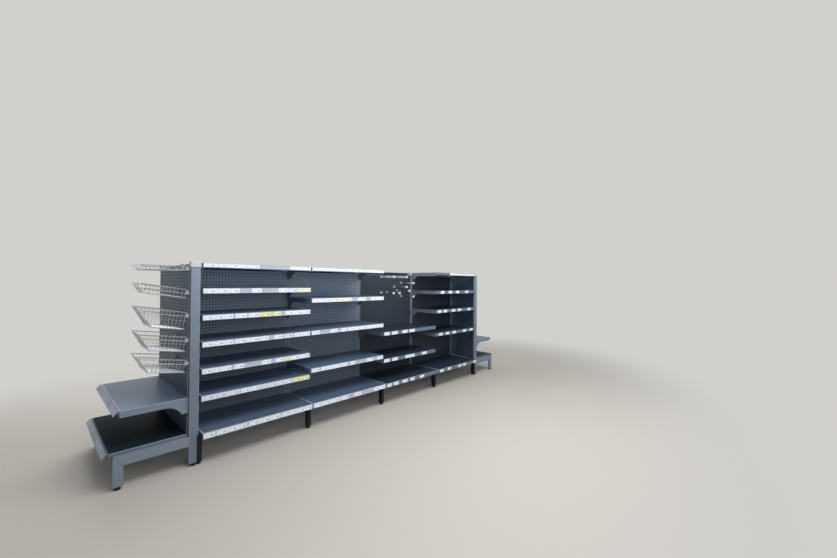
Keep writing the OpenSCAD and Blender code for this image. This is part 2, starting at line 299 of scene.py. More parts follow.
# Nylon, moulded black: a dull sheen, with floor dust worked into its lower rim.
nylon, tree, shader = new_finish("moulded_nylon", "15171b", Roughness=0.55)
place = add_node(tree, "TexCoord"), "Object"
height = add_node(tree, "SeparateXYZ", {"Vector": place})
specks = add_node(tree, "TexNoise", {"Vector": place, "Scale": 160.0, "Detail": 4.0})
dust_high = 0.012
low_rim = add_node(tree, "MapRange", {"Value": (height, "Z"), "From Max": dust_high, "To Min": 0.55,
                                      "To Max": 0.0})
dust = add_node(tree, "Math", {0: low_rim, 1: specks}, operation="MULTIPLY")
tone = add_node(tree, "Mix", {"Factor": dust, "A": linear("15171b"), "B": linear("777269")},
                data_type="RGBA")
feed(shader, {"Base Color": tone})

upright_x = [middle(f"upright_{n}").x for n in range(1, 6)]
post_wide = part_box("upright_1")[1].y * 2
post_narrow = (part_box("upright_1")[1].x - upright_x[0]) * 2
end_post_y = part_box("near_end_posts")[1].y - post_narrow / 2
end_post_x = -middle("near_end_posts").x
run_leg_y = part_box("base_legs_1")[1].y - leg_depth / 2
end_leg_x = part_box("far_end_base_legs")[1].x - leg_depth / 2
pad_ring = on_circle(np.arange(pad_sides) * 2 * pi / pad_sides)
pad = solid(stacked(pad_ring * 0, pad_ring, pad_radii, pad_heights))
foot_spots = [(x, y, 0) for x in upright_x for y in (-run_leg_y, 0, run_leg_y)]
foot_spots += [(side * x, y, 0) for side in (-1, 1) for x in (end_post_x, end_leg_x)
               for y in (-end_post_y, end_post_y)]
add_piece("levelling_feet_black", repeated(pad, foot_spots), nylon, "foot_plastic", ["levelling_feet"])


# Uprights. Rolled steel tubes of 60 by 30 mm with two rows of slots for the bracket hooks,
# every 50 mm. On the run both narrow sides are slotted, on the end units the outer one.
post_wall = 0.002
post_corner = 0.003
slot_across = 0.00675
slot_wide = 0.0045
slot_tall = 0.028
slot_pitch = 0.050
slot_first = 0.260
slot_margin = 0.008
corner_steps = 4


def rounded_outline(low, high, radius, breaks=()):
    """Anticlockwise outline of a rectangle with quarter-round corners, as a core and the way
    outwards at each point. The sides along X also get points at breaks."""
    (x0, y0), (x1, y1) = np.asarray(low) + radius, np.asarray(high) - radius
    turn = np.linspace(-pi / 2, 0, corner_steps + 1)
    cores, outs = [], []
    for quarter, corner in enumerate([(x1, y0), (x1, y1), (x0, y1), (x0, y0)]):
        if quarter in (0, 2) and len(breaks):
            along = np.asarray(breaks) if quarter == 0 else np.asarray(breaks)[::-1]
            cores.append(np.stack([along, np.full(len(along), corner[1])], axis=-1))
            outs.append(np.tile([0.0, quarter - 1.0], (len(along), 1)))
        cores.append(np.tile(corner, (len(turn), 1)))
        outs.append(on_circle(turn + quarter * pi / 2))
    return np.concatenate(cores), np.concatenate(outs)


def slotted_post(low_z, high_z, both):
    """Wall of a post about the Z axis: its rounded outline carried up through rows at every
    slot's foot and head, without the cells of the slots."""
    half = np.array([post_narrow, post_wide]) / 2
    breaks = [side * slot_across + part * slot_wide / 2 for side in (-1, 1) for part in (-1, 1)]
    core, outward = rounded_outline(-half, half, post_corner, breaks)
    feet = np.arange(slot_first, high_z - slot_tall - slot_margin, slot_pitch)
    rows = np.sort(np.concatenate([[low_z, high_z], feet, feet + slot_tall]))
    keep = np.ones((len(rows) - 1, len(core)), bool)
    far_side = len(breaks) + 2 * (corner_steps + 1)
    columns = [0, 2] + ([far_side, far_side + 2] if both else [])
    keep[1:-1:2, columns] = False
    grid = stacked(core, outward, np.full(len(rows), post_corner), rows)
    return surface(grid, around=True, keep=keep, bottom=True)


def turned(shape, degrees, spot=(0, 0, 0)):
    """Shape turned anticlockwise about the Z axis and then moved."""
    a = radians(degrees)
    spin = np.array([[cos(a), sin(a), 0], [-sin(a), cos(a), 0], [0, 0, 1]])
    return shape[0] @ spin + np.array(spot, float), shape[1]


def drift(shader, colour, pale, scale, detail=2.0, drawn_out=(1.0, 1.0, 1.0)):
    """Lets a finish's base colour drift between two tones, as waves of noise do, with scale of
    them to the metre, times drawn_out along each axis. Gives the place, the waves and the tone."""
    tree = shader.id_data
    place = add_node(tree, "TexCoord"), "Object"
    spread = add_node(tree, "Mapping", {"Vector": place, "Scale": drawn_out})
    waves = add_node(tree, "TexNoise", {"Vector": spread, "Scale": scale, "Detail": detail})
    tone = add_node(tree, "Mix", {"Factor": waves, "A": linear(colour), "B": linear(pale)},
                    data_type="RGBA")
    feed(shader, {"Base Color": tone})
    return place, waves, tone


def powder_coat(name, colour, pale, roughness, uneven=0.08, scuff=0.0, shine=0.5, falloff_shade=0.0,
                highlight_tone="b9c5d4", highlight_strength=0.75, shaded_top=None):
    """Powder coat, sprayed and baked on steel: an even satin film with a fine orange peel and
    slow changes of tone, drawn paler towards highlight_tone on the folds, as far as
    highlight_strength says, which is a painted highlight of the light that round folds catch.
    uneven is how far its roughness strays, scuff how far knocks and washing have greyed it near
    the floor, falloff_shade how far it is drawn darker from hand height down to the floor, which is
    painted shade, and shaded_top the colour of a flat top drawn dark as painted shade under a shelf
    above."""
    finish, tree, shader = new_finish(name, colour, IOR=1.5, Specular_IOR_Level=shine)
    place, _, tone = drift(shader, colour, pale, 2.3, 3.0)
    # Orange peel is about 1 mm across, and is drawn at 3 mm so that it shows.
    peel = add_node(tree, "TexNoise", {"Vector": place, "Scale": 330.0})
    bump = add_node(tree, "Bump", {"Strength": 0.12, "Distance": 0.0004, "Height": peel})
    # Rubbed marks are long and level, 3 mm high and some centimetres wide.
    drawn_out = add_node(tree, "Mapping", {"Vector": place, "Scale": (9.0, 9.0, 110.0)})
    rubs = add_node(tree, "TexNoise", {"Vector": drawn_out, "Scale": 3.0, "Detail": 6.0})
    marks = add_node(tree, "MapRange", {"Value": rubs, "From Min": 0.52, "From Max": 0.70})
    height = add_node(tree, "SeparateXYZ", {"Vector": place})
    reach = add_node(tree, "MapRange", {"Value": (height, "Z"), "From Max": 0.32, "To Min": scuff,
                                        "To Max": 0.04})
    worn = add_node(tree, "Math", {0: marks, 1: reach}, operation="MULTIPLY")
    # Darker from hand height down to the floor: painted shade, where less light reaches low down.
    painted_falloff_shade = add_node(tree, "MapRange", {"Value": (height, "Z"), "From Min": 0.7, "From Max": 1.45,
                                       "To Min": falloff_shade, "To Max": 0.0})
    # The round folds and corners are drawn pale: a painted highlight of the light they catch.
    fold = add_node(tree, "Attribute", attribute_name="fold")
    painted_fold_highlight = add_node(tree, "MapRange", {"Value": (fold, "Fac"), "From Min": 0.05, "From Max": 0.45,
                                       "To Max": highlight_strength})
    layers = [(painted_falloff_shade, "2b3036"), (worn, "a9a8a4"), (painted_fold_highlight, highlight_tone)]
    # A flat top can be drawn dark: painted shade from the shelf above it.
    if shaded_top:
        facing = add_node(tree, "NewGeometry")
        up = add_node(tree, "SeparateXYZ", {"Vector": (facing, "Normal")})
        flat_top = add_node(tree, "MapRange", {"Value": (up, "Z"), "From Min": 0.90, "From Max": 0.99})
        layers.append((flat_top, shaded_top))
    for amount, code in layers:
        tone = add_node(tree, "Mix", {"Factor": amount, "A": tone, "B": linear(code)}, data_type="RGBA")
    gloss = add_node(tree, "MapRange", {"Value": rubs, "To Min": roughness - uneven,
                                        "To Max": roughness + uneven})
    feed(shader, {"Base Color": tone, "Roughness": gloss, "Normal": bump})
    return finish


# The posts are drawn darker towards the floor as painted shade.
post_coat = powder_coat("handled_powder_coat", "788697", "8391a3", 0.40, scuff=0.2, falloff_shade=0.35)
post_low, post_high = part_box("upright_1")
run_post = slotted_post(post_low.z, post_high.z, both=True)
end_post = slotted_post(post_low.z, post_high.z, both=False)
for number, x in enumerate(upright_x, 1):
    add_piece(f"slotted_upright_{number}", repeated(run_post, (x, 0, 0)), post_coat, "painted_steel",
              [f"upright_{number}"], wall=post_wall)
ends = {"near": -90, "far": 90}
end_face = end_post_x + post_wide / 2


def on_end(shape, end):
    """A shape drawn facing -Y, with the faces of the posts at Y = 0, put on an end unit."""
    return turned(shape, ends[end], (-end_face if end == "near" else end_face, 0, 0))


def add_on_ends(name, shape, finish, slot, nodes=(), **sheet):
    """A piece on each end unit. Its name and its nodes' names start with that end's."""
    for end in ends:
        add_piece(f"{end}_end_{name}", on_end(shape, end), finish, slot,
                  [f"{end}_end_{node}" for node in nodes], **sheet)


pair = repeated(end_post, [(side * end_post_y, post_wide / 2, 0) for side in (-1, 1)])
add_on_ends("slotted_posts", pair, post_coat, "painted_steel", ["posts"], wall=post_wall)


# Base legs. L-shaped legs folded from steel, whose arm and foot meet in a welded mitre. The
# arm bolts to the post, and the base shelf lies on it. The run's legs are black, and those of the
# end units have the posts' blue-grey and show one screw head.
arm_tall = 0.070
leg_corner = 0.009
leg_edge = 0.0018
screw_out = 0.090
screw_below = 0.009


def prism(outline, low_x, high_x):
    """Outline in Y and Z, anticlockwise seen from +X, carried from low_x to high_x."""
    outline = np.asarray(outline, float)
    grid = np.zeros((2, len(outline), 3))
    grid[..., 1:] = outline
    grid[..., 0] = np.array([low_x, high_x])[:, None]
    return solid(grid)


def l_leg(reach, top, foot):
    """Arm and foot of a leg in front of a face at Y = 0, reach long. Their outlines share the
    mitre from the inner corner to the middle of the outer one, which is a quarter round."""
    half = post_narrow / 2
    inner = (leg_depth - reach, top - arm_tall)
    turn = np.linspace(pi / 2, pi, 9)
    centre = np.array([leg_corner - reach, top - leg_corner])
    outer = centre + leg_corner * on_circle(turn)
    arm = [(0, inner[1]), (0, top), *outer[:5], inner]
    shank = [(-reach, foot), (inner[0], foot), inner, *outer[4:]]
    return together([prism(arm, -half, half), prism(shank, -half, half)])


half_post = post_wide / 2
sides = {"front": (0, -half_post), "rear": (180, half_post)}


def on_side(shape, side, x):
    """A shape drawn facing -Y, with the faces of the posts at Y = 0, put on a side of the run."""
    degrees, y = sides[side]
    return turned(shape, degrees, (x, y, 0))


black_coat = powder_coat("black_powder_coat", "15171d", "1d2027", 0.40, shine=0.2)
arm_coat = powder_coat("blue_grey_powder_coat", "6f7d8d", "798899", 0.40, scuff=0.4)
leg_foot, leg_top = (corner.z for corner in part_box("base_legs_1"))
run_leg = l_leg(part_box("base_legs_1")[1].y - half_post, leg_top, leg_foot)
for number, x in enumerate(upright_x, 1):
    add_piece(f"mitred_legs_{number}", together([on_side(run_leg, side, x) for side in sides]),
              black_coat, "black_steel", [f"base_legs_{number}"], edge=leg_edge)
end_leg = l_leg(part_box("far_end_base_legs")[1].x - end_face, leg_top, leg_foot)
pair = repeated(end_leg, [(side * end_post_y, 0, 0) for side in (-1, 1)])
add_on_ends("mitred_legs", pair, arm_coat, "painted_steel", ["base_legs"], edge=leg_edge)

# Steel, bright zinc plate: the screw heads, small domes with a recess.
zinc, tree, shader = new_finish("bright_zinc_plate", "b2b9c1", Metallic=1.0, Roughness=0.32)
_, cloudy, _ = drift(shader, "a6aeb7", "d2d7dc", 45.0, 3.0)
gloss = add_node(tree, "MapRange", {"Value": cloudy, "To Min": 0.24, "To Max": 0.40})
feed(shader, {"Roughness": gloss})

screw_radii = np.array([5.0, 5.0, 4.2, 2.6, 2.2, 2.2]) / 1000
screw_heights = np.array([0.0, 0.6, 1.9, 2.6, 2.5, 1.4]) / 1000
ring = pad_ring[::2]
head = solid(stacked(ring * 0, ring, screw_radii, screw_heights))
# Laid on its side, so that it points along +X.
sideways_head = (head[0][:, [2, 0, 1]], head[1])
screws = []
for angle, side in ((0, 1), (180, -1)):
    spot = (side * (end_post_y + post_narrow / 2), -screw_out, leg_top - screw_below)
    screws.append(turned(sideways_head, angle, spot))
add_on_ends("leg_screws", together(screws), zinc, "zinc_wire")


# Back panels. Sheet steel with its four edges folded back, punched all over with holes of 25 mm
# pitch for peg hooks. The paint is drawn blue-grey in the first two bays and charcoal in the
# others, painted light and shade of one paint. They drop in between the posts, with a black
# sheet behind them as painted shade inside the run. On the end units plain steel closes them.
hole_pitch = 0.025
hole_radius = 0.0060
panel_fold = 0.0025
panel_sheet = 0.001
board_thick = 0.003
panel_low, panel_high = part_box("near_end_panel")
panel_wide = panel_high.y - panel_low.y
panel_deep = panel_high.x - panel_low.x
bay_x = [(left + right) / 2 for left, right in zip(upright_x[:-1], upright_x[1:])]


def folded_line(half):
    """Places along a side of the panel and how far back each lies: the flat from the middle out
    to the holes' last line, then the quarter-round fold, then the flange."""
    cells = int((half - panel_fold) / hole_pitch)
    turn = np.linspace(0, pi / 2, 4)
    fold = half - panel_fold + panel_fold * np.sin(turn)
    fold_back = panel_fold * (1 - np.cos(turn))
    flat = np.arange(-cells, cells + 1) * hole_pitch
    edge = np.concatenate([fold, [half]])
    edge_back = np.concatenate([fold_back, [panel_deep]])
    line = np.concatenate([-edge[::-1], flat, edge])
    back = np.concatenate([edge_back[::-1], flat * 0, edge_back])
    return line, back, len(edge)


def perforated_panel():
    """Panel with its face at Y = 0 and facing -Y. Each 25 mm cell is a ring of faces between its
    square outline and a six-sided hole; the folds are plain strips, open at the corners."""
    x_line, x_back, skip = folded_line(panel_wide / 2)
    z_line, z_back, _ = folded_line((panel_high.z - panel_low.z) / 2)
    z_line = z_line + (panel_high.z + panel_low.z) / 2
    grid = np.zeros((len(z_line), len(x_line), 3))
    grid[..., 0] = x_line
    grid[..., 1] = x_back + z_back[:, None]
    grid[..., 2] = z_line[:, None]
    plain = np.ones((len(z_line) - 1, len(x_line) - 1), bool)
    plain[skip:-skip, skip:-skip] = False
    folds = slice(0, skip - 1), slice(1 - skip, None)
    for rows in folds:
        for columns in folds:
            plain[rows, columns] = False
    points, faces = surface(grid, keep=plain)
    number = np.arange(grid.shape[0] * grid.shape[1]).reshape(grid.shape[:2])
    square = number[skip:-skip, skip:-skip]
    low_left, low_right = square[:-1, :-1], square[:-1, 1:]
    top_right, top_left = square[1:, 1:], square[1:, :-1]
    centre = (grid[skip:-skip - 1, skip:-skip - 1] + grid[skip + 1:-skip, skip + 1:-skip]) / 2
    angle = np.arange(6) * pi / 3
    rim = hole_radius * np.stack([np.cos(angle), angle * 0, np.sin(angle)], axis=-1)
    holes = centre[:, :, None] + rim
    h = len(points) + np.arange(holes[..., 0].size).reshape(holes.shape[:3])
    right, up_right, up_left, left, down_left, down_right = np.moveaxis(h, -1, 0)
    quads = [(top_right, top_left, up_left, up_right), (low_left, low_right, down_right, down_left)]
    triangles = [(low_right, top_right, right), (top_right, up_right, right), (low_right, right, down_right),
                 (top_left, low_left, left), (low_left, down_left, left), (top_left, left, up_left)]
    faces += [np.stack(corners, axis=-1).reshape(-1, len(corners)) for corners in quads + triangles]
    return np.concatenate([points, holes.reshape(-1, 3)]), faces


def on_both_sides(shape, x):
    """A shape drawn for the front, with the panel's face at Y = 0, put on both sides of a bay."""
    return together([on_side(shape, side, x) for side in sides])


# A black sheet, dull with a faint cloudiness: painted shade that stands for the dark inside of the run
# behind the holes.
shade_sheet, _, shader = new_finish("black_shade_sheet", "0e1013", Roughness=0.8)
drift(shader, "0b0d10", "14171b", 60.0, 4.0)

# All three panel coats are one blue-grey paint drawn as lit and shaded copies: paler in the first two bays,
# charcoal in the last two and darker on the end units, with painted shade towards the floor in the first two
# bays and on the end units.
blue_panel_coat = powder_coat("blue_grey_panel_coat", "8799ae", "93a5b9", 0.50, shine=0.3, falloff_shade=0.5)
shade_darkened_panel_coat = powder_coat("shade_darkened_panel_coat", "303843", "39424e", 0.50, shine=0.3)
end_panel_coat = powder_coat("shaded_panel_coat", "4d6173", "576b7e", 0.50, shine=0.3, falloff_shade=0.25)
panel_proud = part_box("far_end_panel")[1].x - end_face
end_sheet_back = 0.002
panel = perforated_panel()
half_wide = panel_wide / 2 - 2 * panel_sheet
board_y = panel_deep - board_thick
board = surface(np.array([[(-half_wide, board_y, z), (half_wide, board_y, z)]
                          for z in (panel_low.z + 2 * panel_sheet, panel_high.z - 2 * panel_sheet)]))
for bay, x in enumerate(bay_x, 1):
    coat, slot = (blue_panel_coat, "panel_steel") if bay <= 2 else (shade_darkened_panel_coat, "charcoal_steel")
    add_piece(f"perforated_panels_bay_{bay}", on_both_sides(panel, x), coat, slot,
              [f"back_panels_bay_{bay}"], wall=panel_sheet)
    add_piece(f"backing_boards_bay_{bay}", on_both_sides(board, x), shade_sheet, "panel_steel",
              wall=board_thick)
proud_panel = repeated(panel, (0, -panel_proud, 0))
proud_board = repeated(board, (0, end_sheet_back - board_y - panel_proud, 0))
add_on_ends("perforated_panel", proud_panel, end_panel_coat, "panel_steel", ["panel"], wall=panel_sheet)
add_on_ends("backing_sheet", proud_board, end_panel_coat, "panel_steel", wall=panel_sheet)
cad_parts["top_rails"].data.materials.clear()
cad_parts["top_rails"].data.materials.append(arm_coat)


# Shelves. Trays pressed from sheet steel: a flat top with a round front edge, a deep front
# lip, and shallow skirts at the sides and the back. Base shelves lie on the legs' arms.
shelf_bend = 0.006
shelf_sheet = 0.0012
front_lip = 0.038
side_skirt = 0.020
strip_deep = 0.004
bracket_thick = 0.0025
bay_wide = upright_x[1] - upright_x[0]
side_gap = 0.0055
base_wide = bay_wide - 2 * side_gap
shelf_wide = base_wide - 2 * bracket_thick
base_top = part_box("base_shelves_bay_1")[1].z
end_shelf_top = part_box("near_end_shelf")[1].z
six_shelves = [0.50, 0.70, 0.90, 1.10, 1.30, 1.49]
four_shelves = [0.55, 0.90, 1.20, 1.49]
last_shelves = [0.70, 1.00, 1.25, 1.49]
shelf_levels = {"front": [six_shelves, four_shelves, [0.50, 0.80], last_shelves],
                "rear": [six_shelves, four_shelves, four_shelves, last_shelves]}


def tray(wide, deep, top):
    """Tray in front of a face at Y = 0. A round-cornered outline goes up the lip and skirts and in
    over a quarter-round bend to the flat top. Where the outline faces forward the lip is deeper."""
    core, outward = rounded_outline((-wide / 2, -deep), (wide / 2, 0), shelf_bend)
    bend = np.linspace(0, pi / 2, 5)
    lower = np.where(outward[:, 1] < -0.5, front_lip, side_skirt)
    offsets = np.concatenate([[shelf_bend], shelf_bend * np.cos(bend)])
    bent = np.broadcast_to((top - shelf_bend + shelf_bend * np.sin(bend))[:, None], (len(bend), len(core)))
    heights = np.concatenate([(top - lower)[None], bent])
    return surface(stacked(core, outward, offsets, heights.T), around=True, top=True)


# The shelves' folds get a strong painted highlight.
shelf_coat = powder_coat("satin_shelf_coat", "52657c", "5c7089", 0.38, uneven=0.04, shine=0.3,
                         highlight_tone="eaf0f6", highlight_strength=1.0)
# The last two bays' shelves are the same paint drawn charcoal: painted shade.
shade_darkened_shelf_coat = powder_coat("shade_darkened_shelf_finish", "25303e", "2e3b4a", 0.38, uneven=0.04, shine=0.3)
# The end units' base trays: blue-grey, with the flat top drawn near black as painted shade under the shelf
# above.
shaded_top_coat = powder_coat("shaded_top_shelf_coat", "5f6c7b", "697787", 0.45, uneven=0.04, shine=0.02,
                          highlight_tone="8d99a8", shaded_top="1d2b31")
base_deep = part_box("base_shelves_bay_1")[1].y - half_post
shelf_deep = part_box("shelves_bay_1")[1].y - half_post
for bay, x in enumerate(bay_x, 1):
    coat, slot = (shelf_coat, "shelf_steel") if bay <= 2 else (shade_darkened_shelf_coat, "charcoal_steel")
    add_piece(f"base_trays_bay_{bay}", on_both_sides(tray(base_wide, base_deep, base_top), x),
              coat, slot, [f"base_shelves_bay_{bay}"], wall=shelf_sheet)
    trays = [on_side(tray(shelf_wide, shelf_deep, level), side, x)
             for side in sides for level in shelf_levels[side][bay - 1]]
    add_piece(f"shelf_trays_bay_{bay}", together(trays), coat, slot, [f"shelves_bay_{bay}"],
              wall=shelf_sheet)
end_base_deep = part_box("far_end_base_shelf")[1].x - end_face
end_shelf_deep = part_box("far_end_shelf")[1].x - end_face
in_front = (0, -panel_proud, 0)
base_tray = repeated(tray(base_wide, end_base_deep - panel_proud, base_top), in_front)
upper_tray = repeated(tray(shelf_wide, end_shelf_deep - panel_proud, end_shelf_top), in_front)
add_on_ends("base_tray", base_tray, shaded_top_coat, "charcoal_steel", ["base_shelf"], wall=shelf_sheet)
add_on_ends("shelf_tray", upper_tray, shelf_coat, "shelf_steel", ["shelf"], wall=shelf_sheet)


# Shelf brackets. Plates stamped from 2.5 mm steel, one under each end of an upper shelf.
# The deep root hooks into the post's slots and sweeps up in a concave throat.
root_tall = 0.110
flange_tall = 0.045
throat_out = 0.143
bracket_edge = 0.0005


def bracket(reach, top):
    """Plate in Y and Z: level along the top, down at the root, out along its foot, up a round
    throat of the root's own height as radius, and out along the flange."""
    centre = np.array([-throat_out, top - flange_tall - root_tall])
    start = np.arcsin(flange_tall / root_tall)
    throat = centre + root_tall * on_circle(np.linspace(start, pi / 2, 17))
    return np.array([(0, top - root_tall), (0, top), (-reach, top), (-reach, top - flange_tall),
                     *throat[::-1]])


def bracket_pair(wide, reach, top):
    """The two plates under the ends of a shelf, one at each end of its width."""
    plate = prism(bracket(reach, top), -bracket_thick / 2, bracket_thick / 2)
    return repeated(plate, [(side * (wide - bracket_thick) / 2, 0, 0) for side in (-1, 1)])


for side in sides:
    pairs = [on_side(bracket_pair(base_wide, shelf_deep, level), side, x)
             for x, levels in zip(bay_x, shelf_levels[side]) for level in levels]
    add_piece(f"{side}_stamped_brackets", together(pairs), arm_coat, "painted_steel",
              [f"{side}_brackets"], edge=bracket_edge)
pairs = [on_end(bracket_pair(base_wide, end_shelf_deep, end_shelf_top), end) for end in ends]
add_piece("end_stamped_brackets", together(pairs), arm_coat, "painted_steel", ["end_brackets"],
          edge=bracket_edge)


# Ticket strips. Extruded plastic channels with two lips, stuck along the shelf fronts. In the
# first two bays they are milky white, in the last two smoky. On the end units they lean out, and
# a flange holds them a little way off the shelf.
strip_tall = 0.040
top_strip_tall = 0.032
top_shelf_from = 1.40
base_strip_drop = 0.002
strip_back = 0.0016
strip_lip = 0.0025
strip_edge = 0.0004
end_strip_lean = 43
end_strip_gap = 0.005
flange_high = 0.005
flange_low = 0.008


def channel(wide, tall):
    """Channel in front of a face at Y = 0, with its top at Z = 0: a back wall and two lips."""
    outline = [(-strip_deep, -tall), (0, -tall), (0, 0), (-strip_deep, 0), (-strip_deep, -strip_lip),
               (-strip_back, -strip_lip), (-strip_back, strip_lip - tall), (-strip_deep, strip_lip - tall)]
    return prism(outline, -wide / 2, wide / 2)


def strip_places(side, bay):
    """Where the strips of a bay hang: how far out, how high, and how tall each one is."""
    places = [(base_deep, base_top - base_strip_drop, strip_tall)]
    for level in shelf_levels[side][bay]:
        places.append((shelf_deep, level, top_strip_tall if level > top_shelf_from else strip_tall))
    return places


def extruded_plastic(name, colour, pale):
    """Plastic strip, extruded: a soft gloss, with its tone drawn out along its length."""
    finish, _, shader = new_finish(name, colour, Roughness=0.30, Coat_Weight=0.3, Coat_Roughness=0.15)
    drift(shader, colour, pale, 3.0, drawn_out=(4.0, 30.0, 90.0))
    return finish


milky = extruded_plastic("milky_strip_plastic", "a5b0c2", "b4becd")
smoky = extruded_plastic("smoky_strip_plastic", "56657b", "64748b")
violet = extruded_plastic("violet_strip_plastic", "617389", "6d7e92")
for side in sides:
    for kind, finish, bays in (("milky", milky, (0, 1)), ("smoky", smoky, (2, 3))):
        strips = [on_side(repeated(channel(base_wide, tall), (0, -out, top)), side, bay_x[bay])
                  for bay in bays for out, top, tall in strip_places(side, bay)]
        add_piece(f"{side}_{kind}_strips", together(strips), finish, "ticket_plastic",
                  [f"{side}_ticket_strips"], edge=strip_edge)


def leaned(shape, degrees):
    """Shape leaned about the X axis, its top towards the back where degrees is above zero."""
    a = -radians(degrees)
    tip = np.array([[1, 0, 0], [0, cos(a), sin(a)], [0, -sin(a), cos(a)]])
    return shape[0] @ tip, shape[1]


leaning_channel = repeated(leaned(channel(base_wide, strip_tall), end_strip_lean), (0, -end_strip_gap, 0))
reach = end_strip_gap + flange_low * tan(radians(end_strip_lean))
flange = prism([(-reach, -flange_low), (0, -flange_low), (0, -flange_high), (-reach, -flange_high)],
               -base_wide / 2, base_wide / 2)
pair = repeated(together([leaning_channel, flange]),
                [(0, -end_base_deep, base_top), (0, -end_shelf_deep, end_shelf_top)])
add_piece("end_leaning_strips", together([on_end(pair, end) for end in ends]), violet,
          "end_ticket_plastic", ["end_ticket_strips"], edge=strip_edge)


# Tickets. Printed cards slid between the lips of the strips, white, cream or yellow, each
# with a block, two lines and a bar mark in dark ink. Some stretches of strip are bare.
card_thick = 0.0006
card_wide = 0.080
card_joint = 0.0012
card_colours = {"w": linear("e9f1fb"), "l": linear("dce5f1"), "c": linear("eeebdc"),
                "y": linear("eee8b0")}
# Stretches of cards on each strip of a bay, from the lowest up, as the cards' colour with the
# stretch's start and end in millimetres from the bay's left side.
card_runs = [
    ["w4-80 w90-312 w324-586 w598-881", "l3-270 w280-430 l438-722 y728-879",
     "w4-206 w228-304 w444-520 w564-640 y644-700 w702-876",
     "w4-221 w232-425 w430-500 w546-622 l634-718 w732-886",
     "w4-215 w232-320 w332-420 y425-519 y532-603 w645-880",
     "w6-261 w356-436 w582-664 l668-759 c763-886", "w4-417 w680-886"],
    ["w4-284 w296-384 w458-547 w713-791 w797-878", "w12-90 w104-335 w340-414 w438-507 w658-741 w804-886",
     "w4-88 w209-290 w325-397 w409-886", "w4-205 c210-455 w531-636 w705-886", "w4-886"],
    ["w4-77 w101-182 w238-325 w370-447 w535-617", "w4-90 w128-215 w338-501 w628-722",
     "w4-86 w117-211 w284-376 w402-497"],
    ["w20-100 w180-260 w410-490 w520-600 w780-860", "w60-140 w200-280 w350-430 w590-670 w760-840",
     "w30-110 w150-230 w330-410 w470-550 w700-780", "w90-170 w260-340 w420-500 w640-720",
     "w282-884"],
]


def card_stretches(side, bay):
    """The stretches of a bay's strips. A rear bay with more shelves repeats the bay before."""
    places = strip_places(side, bay)
    texts = card_runs[bay] if len(card_runs[bay]) == len(places) else card_runs[bay - 1]
    for (out, top, tall), text in zip(places, texts):
        for stretch in text.split():
            start, end = (int(part) / 1000 for part in stretch[1:].split("-"))
            yield out, top, tall, stretch[0], start, end


box_corners = np.array([(x, y, z) for z in (0, 1) for x, y in ((0, 0), (1, 0), (1, 1), (0, 1))], float)
# A corner's place on its card: across from 0 to 1, up from 0 to 1, and 1 on the face.
corner_places = box_corners[:, [0, 2, 1]] * (1, 1, -1) + (0, 0, 1)


def flat_boxes(lows, highs):
    """Boxes from their low to their high corners."""
    lows, highs = np.array(lows), np.array(highs)
    points = lows[:, None] + box_corners[None] * (highs - lows)[:, None]
    starts = 8 * np.arange(len(lows))[:, None, None]
    faces = [(face[None] + starts).reshape(-1, 4) for face in solid(box_corners.reshape(2, 4, 3))[1]]
    return points.reshape(-1, 3), faces


def cards(side):
    """Flat boxes for the cards of one side of the run, and each card's colour."""
    shapes, colours = [], []
    for bay, x in enumerate(bay_x):
        lows, highs = [], []
        for out, top, tall, colour, start, end in card_stretches(side, bay):
            count = max(1, round((end - start) / card_wide))
            edges = np.linspace(start, end, count + 1) - base_wide / 2
            y = -out - strip_back
            lows += [(left, y - card_thick, top - tall + strip_lip) for left in edges[:-1]]
            highs += [(right, y, top - strip_lip) for right in edges[1:] - card_joint]
            colours += [card_colours[colour]] * count
        shapes.append(on_side(flat_boxes(lows, highs), side, x))
    return together(shapes), colours


# Coated card behind a clear lip: smooth and slightly glossy, with the ink laid on it.
card_stock, tree, shader = new_finish("printed_card", "eef3fa", Roughness=0.42, Coat_Weight=0.2,
                                      Coat_Roughness=0.2)
stock = add_node(tree, "Attribute", attribute_name="card_colour")
place = add_node(tree, "Attribute", attribute_name="card_place"), "Vector"
on_card = add_node(tree, "SeparateXYZ", {"Vector": place})
# Each patch of print: its middle and half width across, the same upwards, and its darkness.
print_patches = [(0.74, 0.17, 0.42, 0.20, 0.75), (0.27, 0.20, 0.78, 0.05, 0.50),
                 (0.22, 0.15, 0.62, 0.04, 0.40), (0.22, 0.14, 0.26, 0.14, 0.45)]
ink = 0.0
for across, half_across, up, half_up, dark in print_patches:
    level_part = add_node(tree, "Math", {0: (on_card, "X"), 1: across, 2: half_across},
                          operation="COMPARE")
    upright_part = add_node(tree, "Math", {0: (on_card, "Y"), 1: up, 2: half_up}, operation="COMPARE")
    patch = add_node(tree, "Math", {0: level_part, 1: upright_part}, operation="MULTIPLY")
    ink = add_node(tree, "Math", {0: patch, 1: dark, 2: ink}, operation="MULTIPLY_ADD")
# The print is broken up into strokes of about 1 mm, drawn coarser than real print.
strokes = add_node(tree, "TexNoise", {"Vector": place, "Scale": 22.0, "Detail": 1.0})
broken = add_node(tree, "MapRange", {"Value": strokes, "From Min": 0.42, "From Max": 0.58})
ink = add_node(tree, "Math", {0: ink, 1: broken}, operation="MULTIPLY")
ink = add_node(tree, "Math", {0: ink, 1: (on_card, "Z")}, operation="MULTIPLY")
tone = add_node(tree, "Mix", {"Factor": ink, "A": (stock, "Color"), "B": linear("20242c")},
                data_type="RGBA")
feed(shader, {"Base Color": tone})


